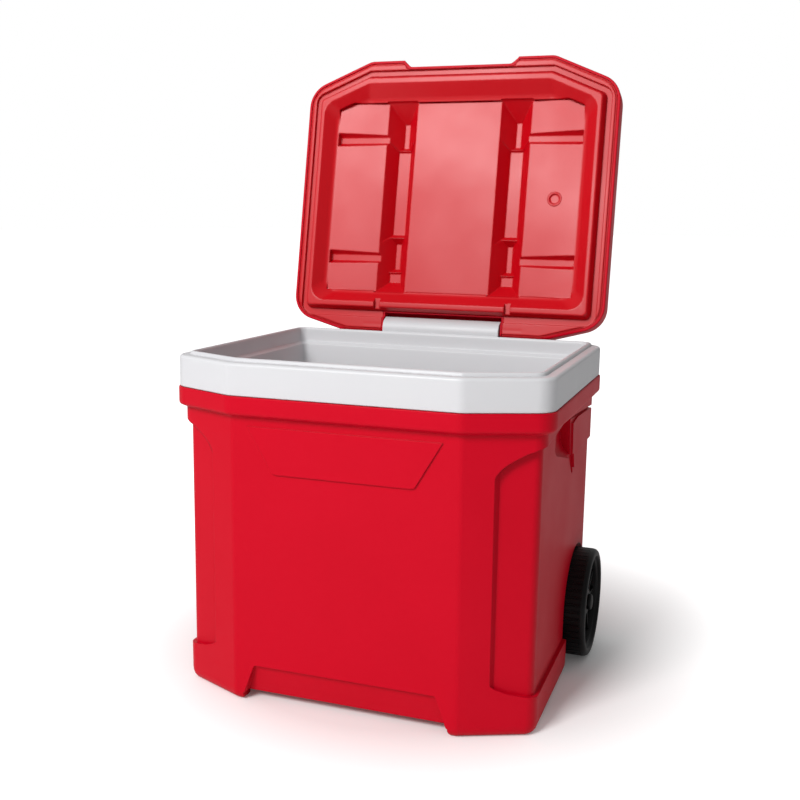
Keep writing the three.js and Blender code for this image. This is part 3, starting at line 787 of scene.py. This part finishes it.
def joined(*things):
    """Puts several solids in one mesh."""
    vertices = []
    faces = []
    for thing in things:
        base = len(vertices)
        vertices += [tuple(v.co) for v in thing.data.vertices]
        faces += [tuple(base + i for i in f.vertices) for f in thing.data.polygons]
        bpy.data.objects.remove(thing)
    return piece("joined", vertices, faces)


def wheel(side):
    """A wheel on the right at side 1 and on the left at side -1."""
    profile = [
        (AXLE_BORE, 250.5), (19, 250.5), (20, 251.5), (20.6, 264), (67, 266), (69.5, 264),
        (71.5, 252), (73, 250.6), (82.5, 250.6), (84.8, 251.4), (86.4, 253.2), (87.1, 255.8),
        (87.3, 258), (87.3, 288), (87, 290.6), (86, 293), (84, 295), (81.6, 295.9), (78, 296),
        (76, 295.4), (75, 293.8), (74.6, 291.6), (73.2, 290.2), (70.6, 289.6), (69.4, 288),
        (68, 277), (66, 275), (25, 272.6), (22.6, 274), (20.4, 285.6), (19, 287), (AXLE_BORE, 287),
    ]
    body = turned(profile, 144, (0, 0, 0))
    rib = prism("Z", [(271, -2.2), (284.6, -1.6), (284.6, 1.6), (271, 2.2)], 19, 70)
    ribs = repeated("wheel_ribs", rib, RIB_COUNT, black_plastic)
    bar = prism("Z", [(258.5, -1.9), (287.5, -1.9), (287.5, 1.9), (258.5, 1.9)], 86.6, 87.5)
    tread = repeated("wheel_tread", bar, TREAD_COUNT, black_plastic)
    whole = joined(body, ribs, tread)
    whole.data.transform(Matrix.Translation((0, WHEEL_Y, WHEEL_Z)))
    return whole if side > 0 else mirrored(whole)


for side, word in ((1, "right"), (-1, "left")):
    made = finished(f"wheel_{word}_moulding", wheel(side), black_plastic)
    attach(made, f"{word}_wheel")
    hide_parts(f"wheel_{word}")

# ============================================================ axle caps
# Domed black polypropylene caps, one moulding each. They are pushed onto the
# axle ends and hold the wheels on.

cap_profile = [
    (AXLE_BORE, 287.3), (12, 287.3), (13, 288.2), (13, 291), (12.2, 292.8), (10, 294), (6, 294.5),
    (0.01, 294.6), (0.01, 291.6), (AXLE_BORE, 291.5),
]
for side, word in ((1, "right"), (-1, "left")):
    cap = turned(cap_profile, 64, (0, WHEEL_Y, WHEEL_Z))
    cap = cap if side > 0 else mirrored(cap)
    cap = finished(f"axle_cap_{word}_moulding", cap, black_plastic)
    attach(cap, "body")
    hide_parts(f"axle_cap_{word}")

# ============================================================ tow handle brackets
# Black moulded clevis brackets on the rear wall. Two ears on each take the
# handle's pivot pin, and two screws outside the ears hold it to the shell.

TOW_X = 170.0
TOW_Y = 284.0
TOW_Z = 396.0


def bracket():
    """A plate with two ears, bored for the pivot pin and for two screws."""
    plate_outline = [
        (144, 381), (149, 376), (191, 376), (196, 381), (196, 411), (191, 416), (149, 416), (144, 411),
    ]
    plate = prism("Y", plate_outline, 269.1, 273)
    ear_side = [(270, 378)]
    for step in range(17):
        angle = math.radians(-64 + 8 * step)
        ear_side.append((TOW_Y + 11 * math.cos(angle), TOW_Z + 11 * math.sin(angle)))
    ear_side.append((270, 414))
    return worked(
        plate, ("add", prism("X", ear_side, 158, 163)), ("add", prism("X", ear_side, 177, 182)),
        ("cut", rod("X", PIN_BORE, 140, 200, TOW_Y, TOW_Z)), ("cut", rod("Y", 2.8, 255, 290, 150, TOW_Z)),
        ("cut", rod("Y", 2.8, 255, 290, 190, TOW_Z)),
    )


for side, word in ((1, "right"), (-1, "left")):
    made = bracket() if side > 0 else mirrored(bracket())
    made = finished(f"tow_bracket_{word}_moulding", made, black_plastic)
    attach(made, "body")
    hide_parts(f"tow_bracket_{word}")
    pin = turned([
        (0.01, 157.5), (3.4, 157.5), (4, 158.1), (4, 182.3), (6, 182.3), (6.5, 182.8), (6.2, 184.2),
        (4.6, 185), (0.01, 185),
    ], 48, (0, TOW_Y, TOW_Z))
    pin = pin if side > 0 else mirrored(pin)
    pin = finished(f"tow_pin_{word}_steel", pin, steel)
    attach(pin, "body")
    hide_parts(f"tow_pin_{word}")

# ============================================================ bracket screws
# Four pan-head steel screws with cross recesses, two through each bracket into
# the shell's rear wall.

SCREW_GAP = 40.0

head = turned([
    (0.01, 262), (1.4, 262.4), (2.5, 264.5), (2.5, 273.3), (4, 273.3), (4, 274.4), (3.5, 275.5),
    (2.4, 276), (0.01, 276),
], 40, (0, 0, 0), "Y")
cross = worked(
    prism("Y", [(-2.1, -0.4), (2.1, -0.4), (2.1, 0.4), (-2.1, 0.4)], 274.8, 278),
    ("add", prism("Y", [(-0.4, -2.1), (0.4, -2.1), (0.4, 2.1), (-0.4, 2.1)], 274.8, 278)),
)
screw = worked(head, ("cut", cross))
screws = bpy.data.node_groups.new("bracket_screws", "GeometryNodeTree")
screws.interface.new_socket("Geometry", in_out="INPUT", socket_type="NodeSocketGeometry")
screw_gap = screws.interface.new_socket("Gap", in_out="INPUT", socket_type="NodeSocketFloat")
screw_finish = screws.interface.new_socket("Finish", in_out="INPUT", socket_type="NodeSocketMaterial")
screws.interface.new_socket("Geometry", in_out="OUTPUT", socket_type="NodeSocketGeometry")
screw_in = add(screws, "NodeGroupInput")
screw_step = add(screws, "ShaderNodeCombineXYZ", {}, {"X": screw_in.outputs["Gap"]})
brackets = add(
    screws, "GeometryNodeMeshLine",
    {"Count": 2, "Start Location": (-TOW_X - SCREW_GAP / 2, 0, 0), "Offset": (2 * TOW_X, 0, 0)},
)
pair = add(screws, "GeometryNodeMeshLine", {"Count": 2}, {"Offset": screw_step.outputs[0]})
spots = add(
    screws, "GeometryNodeInstanceOnPoints", {},
    {"Points": brackets.outputs[0], "Instance": pair.outputs[0]},
)
real_spots = add(screws, "GeometryNodeRealizeInstances", {}, {"Geometry": spots.outputs[0]})
placed = add(
    screws, "GeometryNodeInstanceOnPoints", {},
    {"Points": real_spots.outputs[0], "Instance": screw_in.outputs["Geometry"]},
)
real_screws = add(screws, "GeometryNodeRealizeInstances", {}, {"Geometry": placed.outputs[0]})
coated_screws = add(
    screws, "GeometryNodeSetMaterial", {},
    {"Geometry": real_screws.outputs[0], "Material": screw_in.outputs["Finish"]},
)
add(screws, "NodeGroupOutput", {}, {"Geometry": coated_screws.outputs[0]})
spread = screw.modifiers.new("bracket_screws", "NODES")
spread.node_group = screws
spread[screw_gap.identifier] = SCREW_GAP
spread[screw_finish.identifier] = steel
bpy.context.view_layer.update()
screw_graph = bpy.context.evaluated_depsgraph_get()
screw_mesh = bpy.data.meshes.new_from_object(screw.evaluated_get(screw_graph))
bpy.data.objects.remove(screw)
screw_set = bpy.data.objects.new("bracket_screws", screw_mesh)
bpy.context.scene.collection.objects.link(screw_set)
screw_set = finished("bracket_screws", screw_set, steel, to_frame @ Matrix.Translation((0, 0, TOW_Z)))
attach(screw_set, "body")
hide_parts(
    "bracket_screw_inner_right", "bracket_screw_inner_left",
    "bracket_screw_outer_right", "bracket_screw_outer_left",
)

# ============================================================ tow handle
# A steel tube bent into a U, flattened and bored at both ends for the pivot pins.
# A ribbed rubber sleeve is pushed over its straight middle.

TUBE_RADIUS = 7.0
BEND_RADIUS = 26.0
DROP = 286.0


def tube_path():
    """The U that the tube is bent into, from one pivot to the other."""
    path = [(TOW_X, TOW_Z - 20)]
    bottom = TOW_Z - DROP
    for step in range(11):
        angle = math.radians(9 * step)
        x = TOW_X - BEND_RADIUS + BEND_RADIUS * math.cos(angle)
        z = bottom + BEND_RADIUS - BEND_RADIUS * math.sin(angle)
        path.append((x, z))
    return path + [(-x, z) for x, z in reversed(path)]


def tube(path, radius, y, steps=32):
    """Carries a circle along a path that lies in a plane across Y."""
    vertices = []
    for i, (x, z) in enumerate(path):
        before = path[max(i - 1, 0)]
        after = path[min(i + 1, len(path) - 1)]
        along = Vector((after[0] - before[0], after[1] - before[1])).normalized()
        for step in range(steps):
            angle = 2 * math.pi * step / steps
            out = radius * math.cos(angle)
            vertices.append((x + out * along.y, y + radius * math.sin(angle), z - out * along.x))
    faces = [tuple(range(steps)), tuple(reversed(range(len(vertices) - steps, len(vertices))))]
    for row in range(len(path) - 1):
        for step in range(steps):
            a = row * steps + step
            b = row * steps + (step + 1) % steps
            faces.append((a, a + steps, b + steps, b))
    return piece("tube", vertices, faces)


def flat_end():
    """The flattened end of the tube, bored for the pivot pin."""
    blade = [
        (TOW_Y - 7, 366), (TOW_Y + 7, 366), (TOW_Y + 9.2, 384), (TOW_Y + 9.5, TOW_Z),
        (TOW_Y + 6.7, TOW_Z + 6.7), (TOW_Y, TOW_Z + 9.5), (TOW_Y - 6.7, TOW_Z + 6.7),
        (TOW_Y - 9.5, TOW_Z), (TOW_Y - 9.2, 384),
    ]
    return prism("X", blade, 165, 175)


handle = worked(
    tube(tube_path(), TUBE_RADIUS, TOW_Y), *on_both_sides("add", flat_end),
    *on_both_sides("cut", lambda: rod("X", PIN_BORE, 150, 190, TOW_Y, TOW_Z)),
)
handle = finished("tow_handle_tube", handle, steel)
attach(handle, "tow_handle")
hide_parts("tow_frame")

rubber = moulded("black_rubber", "#19191A", "#141414", 0.6, 0.7, 0.08, 1.0, 0.35)
sleeve_profile = [(7.3, -75), (10.6, -75), (11.7, -73.6)]
for rib in range(14):
    start = -69 + 10 * rib
    sleeve_profile += [(11.5, start), (12.4, start + 1.6), (12.4, start + 5.6), (11.5, start + 7.2)]
sleeve_profile += [(11.7, 73.6), (10.6, 75), (7.3, 75)]
sleeve = turned(sleeve_profile, 64, (0, TOW_Y, TOW_Z - DROP))
sleeve = finished("tow_handle_sleeve", sleeve, rubber)
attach(sleeve, "tow_handle")
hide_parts("tow_grip")

# ============================================================ drain
# A white spout through the rear wall at the tub's floor, closed from outside by
# a push-in plug with a finger bar.

spout = turned([
    (5, 236), (8, 236), (8, 268.2), (14, 268.2), (15, 269), (15, 269.8), (14.2, 270.4), (5, 270.4),
], 56, DRAIN, "Y")
spout = finished("drain_spout_moulding", spout, white_plastic)
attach(spout, "body")
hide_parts("drain_spout")
stopper = turned([
    (0.01, 250), (3.8, 250), (4.6, 251), (4.6, 270.8), (12, 270.8), (13, 271.8), (13, 275.6), (12.2, 276.7),
    (11, 277), (0.01, 277),
], 56, DRAIN, "Y")
bar_side = [
    (DRAIN[0] - 2.5, 43.5), (DRAIN[0] + 2.5, 43.5), (DRAIN[0] + 2.5, 62.5), (DRAIN[0] - 2.5, 62.5),
]
stopper = worked(stopper, ("add", prism("Y", bar_side, 276, 286)))
stopper = finished("drain_plug_moulding", stopper, white_plastic)
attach(stopper, "plug")
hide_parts("drain_plug")

# ============================================================ floor, light and camera
# A plain pale floor under soft studio light from the front left. Away from the cooler the floor also has a
# painted glow, seen only by the camera, that grows with distance and whitens it; close to the cooler the
# glow fades so the shadow stays.

floor = piece("floor", [(-30, -20, 0), (30, -20, 0), (30, 60, 0), (-30, 60, 0)], [(0, 1, 2, 3)])
floor_material = bpy.data.materials.new("pale_floor_with_painted_glow")
floor_material.use_nodes = True
floor_tree = floor_material.node_tree
floor_tree.nodes.clear()
floor_ray = add(floor_tree, "ShaderNodeLightPath")
floor_matt = add(floor_tree, "ShaderNodeBsdfDiffuse", {"Color": (0.86, 0.86, 0.86, 1)})
# Painted glow: light that only the camera sees on the floor, faint next to the cooler and strong further
# off.
floor_where = add(floor_tree, "ShaderNodeTexCoord").outputs["Object"]
floor_far = add(floor_tree, "ShaderNodeVectorMath", {}, {0: floor_where}, operation="LENGTH")
floor_glow_by_distance = add(
    floor_tree, "ShaderNodeMapRange", {"From Min": 0.3, "From Max": 0.66, "To Min": 0.04, "To Max": 0.78},
    {"Value": floor_far.outputs["Value"]},
)
floor_glow_camera_only = add(
    floor_tree, "ShaderNodeMath", {}, {0: floor_glow_by_distance.outputs[0], 1: floor_ray.outputs["Is Camera Ray"]},
    operation="MULTIPLY",
)
floor_painted_glow = add(
    floor_tree, "ShaderNodeEmission", {"Color": (1, 1, 1, 1)}, {"Strength": floor_glow_camera_only.outputs[0]},
)
floor_sum = add(
    floor_tree, "ShaderNodeAddShader", {}, {0: floor_matt.outputs[0], 1: floor_painted_glow.outputs[0]},
)
add(floor_tree, "ShaderNodeOutputMaterial", {}, {"Surface": floor_sum.outputs[0]})
floor.data.materials.append(floor_material)

world = bpy.data.worlds.new("studio")
world.use_nodes = True
sky = world.node_tree
sky.nodes.clear()
sky_where = add(sky, "ShaderNodeTexCoord").outputs["Generated"]
sky_split = add(sky, "ShaderNodeSeparateXYZ", {}, {"Vector": sky_where})
sky_side = add(
    sky, "ShaderNodeMapRange", {"From Min": -1.0, "From Max": 1.0, "To Min": 0.6, "To Max": 0.27},
    {"Value": sky_split.outputs["X"]},
)
sky_ray = add(sky, "ShaderNodeLightPath")
sky_seen = add(
    sky, "ShaderNodeMix", {"B": 1.0},
    {"Factor": sky_ray.outputs["Is Camera Ray"], "A": sky_side.outputs[0]}, data_type="FLOAT",
)
sky_light = add(sky, "ShaderNodeBackground", {"Color": (1, 1, 1, 1)}, {"Strength": sky_seen.outputs[0]})
add(sky, "ShaderNodeOutputWorld", {}, {"Surface": sky_light.outputs[0]})
bpy.context.scene.world = world


def lamp(name, where, target, size, power):
    """A square area light aimed at a point."""
    data = bpy.data.lights.new(name, "AREA")
    data.shape = "SQUARE"
    data.size = size
    data.energy = power
    light = bpy.data.objects.new(name, data)
    light.location = where
    light.rotation_euler = (Vector(target) - Vector(where)).to_track_quat("-Z", "Y").to_euler()
    bpy.context.scene.collection.objects.link(light)


lamp("key", (-1.0, -3.1, 2.9), (0, 0, 0.4), 1.3, 84)
lamp("sheen", (-0.6, -2.5, 1.95), (0, 0.2, 0.75), 0.9, 30)

AZIMUTH = math.radians(19.21)
PITCH = math.radians(9.81)
ROLL = math.radians(0.88)
forward = Vector((
    -math.sin(AZIMUTH) * math.cos(PITCH), math.cos(AZIMUTH) * math.cos(PITCH), -math.sin(PITCH),
))
level = Vector((math.cos(AZIMUTH), math.sin(AZIMUTH), 0))
upward = level.cross(forward)
right = level * math.cos(ROLL) + upward * math.sin(ROLL)
upward = upward * math.cos(ROLL) - level * math.sin(ROLL)
camera_data = bpy.data.cameras.new("camera")
camera_data.sensor_width = 36
camera_data.lens = 46.872
camera = bpy.data.objects.new("camera", camera_data)
turn = Matrix((right, upward, -forward)).transposed().to_4x4()
camera.matrix_world = Matrix.Translation((0.5273, -1.4476 - ORIGIN_Y / 1000, 0.7)) @ turn
bpy.context.scene.collection.objects.link(camera)
bpy.context.scene.camera = camera
bpy.context.scene.view_settings.view_transform = "Standard"
